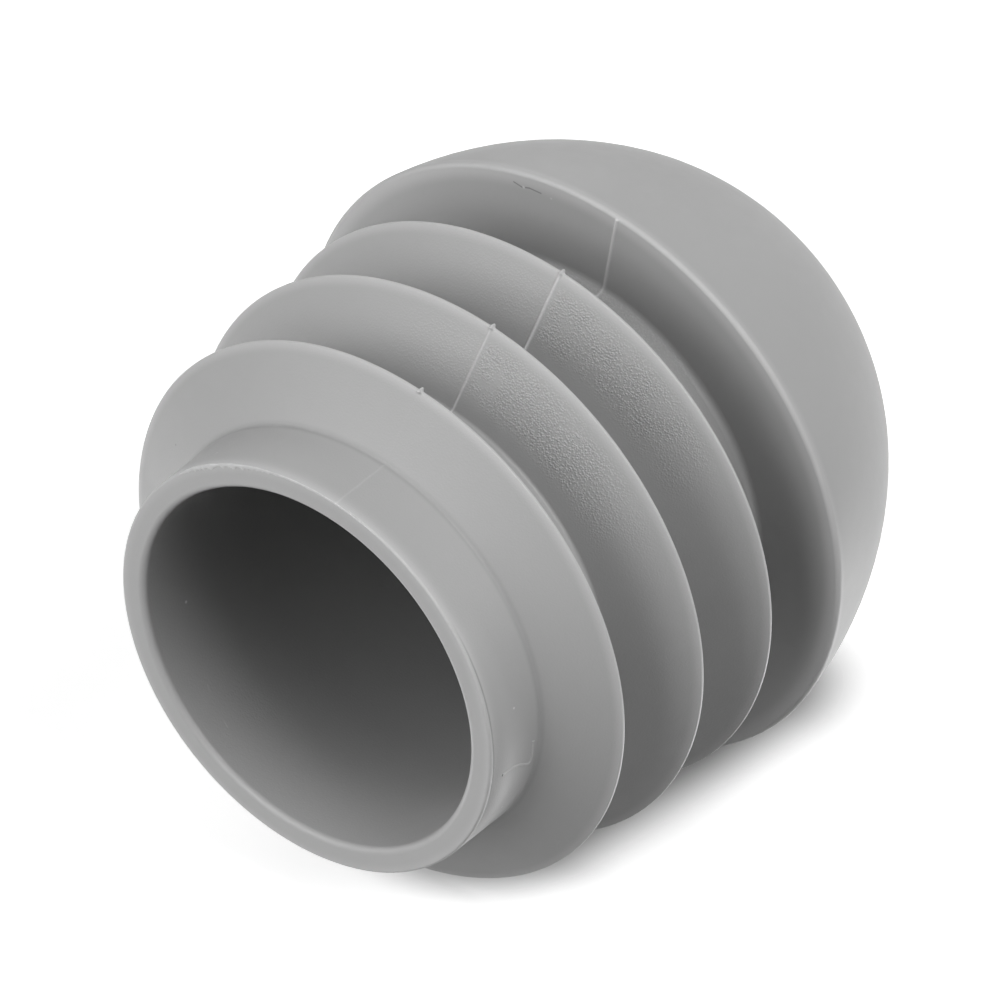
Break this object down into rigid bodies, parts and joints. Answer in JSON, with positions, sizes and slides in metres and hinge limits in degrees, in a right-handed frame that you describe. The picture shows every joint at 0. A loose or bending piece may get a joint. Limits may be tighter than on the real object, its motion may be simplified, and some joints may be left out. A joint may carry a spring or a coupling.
{
  "type": "ball head plug",
  "caption": "Domed end plug for a round tube, with a hollow ribbed stem whose saw-tooth fins grip the tube's bore and a shoulder that stops at its end.",
  "frame": {"origin": "on the plug's axis, in the plane of the stem's open mouth", "axes": "+Z along the axis, from the open mouth to the top of the dome; +X through one of the two parting lines of the mould"},
  "size_m": [0.03, 0.03, 0.0332],
  "materials": {
    "plug": "neutral grey moulded polyethylene with a soft sheen"
  },
  "bodies": {
    "root": {"plug": "plug"}
  },
  "joints": []
}
